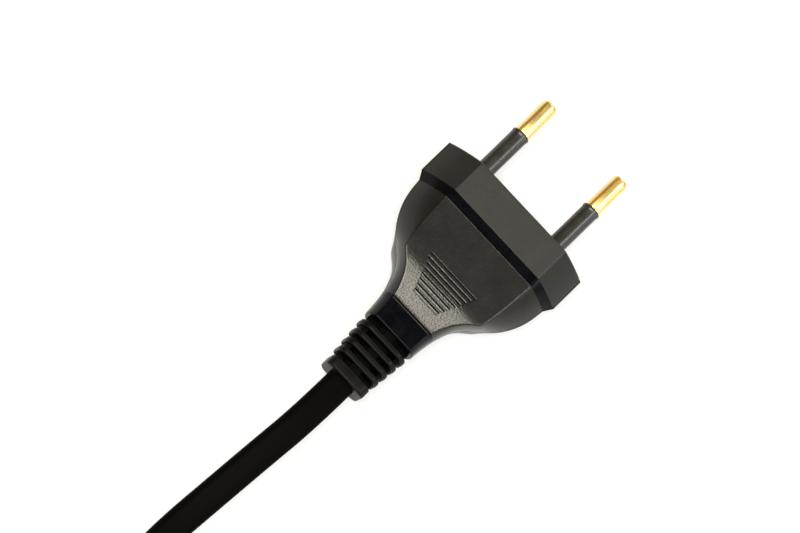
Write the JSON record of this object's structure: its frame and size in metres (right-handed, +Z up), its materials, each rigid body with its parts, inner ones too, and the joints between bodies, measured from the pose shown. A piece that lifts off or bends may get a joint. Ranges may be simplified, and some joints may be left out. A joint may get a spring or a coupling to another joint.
{
  "type": "two-pin mains plug with flat cord",
  "caption": "Flat moulded mains plug with round sleeved pins, a finger grip, a slotted strain relief and a flat two-core cord folded into a hank.",
  "frame": {"origin": "centre of the engagement face, midway between the pins", "axes": "+Y out along the pins, X across the flange, +Z up from the flat underside of the flange that it lies on"},
  "size_m": [0.059, 0.2004, 0.0186],
  "materials": {
    "body_pvc": "fine spark-eroded grain, satin",
    "carrier_plastic": "smooth satin",
    "pin_brass": "bright drawn brass",
    "sleeve_plastic": "smooth semi-gloss",
    "core_blue": "smooth",
    "core_brown": "smooth",
    "copper": "bright stranded copper",
    "cord_sheath": "smooth satin",
    "tie_plastic": "ribbed, satin",
    "ferrule_tin": "tinned, satin"
  },
  "bodies": {
    "root": {"moulded_body": "body_pvc", "pin_carrier": "carrier_plastic", "pin_left": "pin_brass", "pin_right": "pin_brass", "pin_sleeve_left": "sleeve_plastic", "pin_sleeve_right": "sleeve_plastic", "core_left": "core_blue", "core_right": "core_brown", "conductor_left": "copper", "conductor_right": "copper", "cord_held": "cord_sheath", "cord_run": "cord_sheath", "cord_hank": "cord_sheath", "hank_tie": "tie_plastic", "end_core_left": "core_blue", "end_core_right": "core_brown", "end_ferrule_left": "ferrule_tin", "end_ferrule_right": "ferrule_tin"}
  },
  "joints": []
}
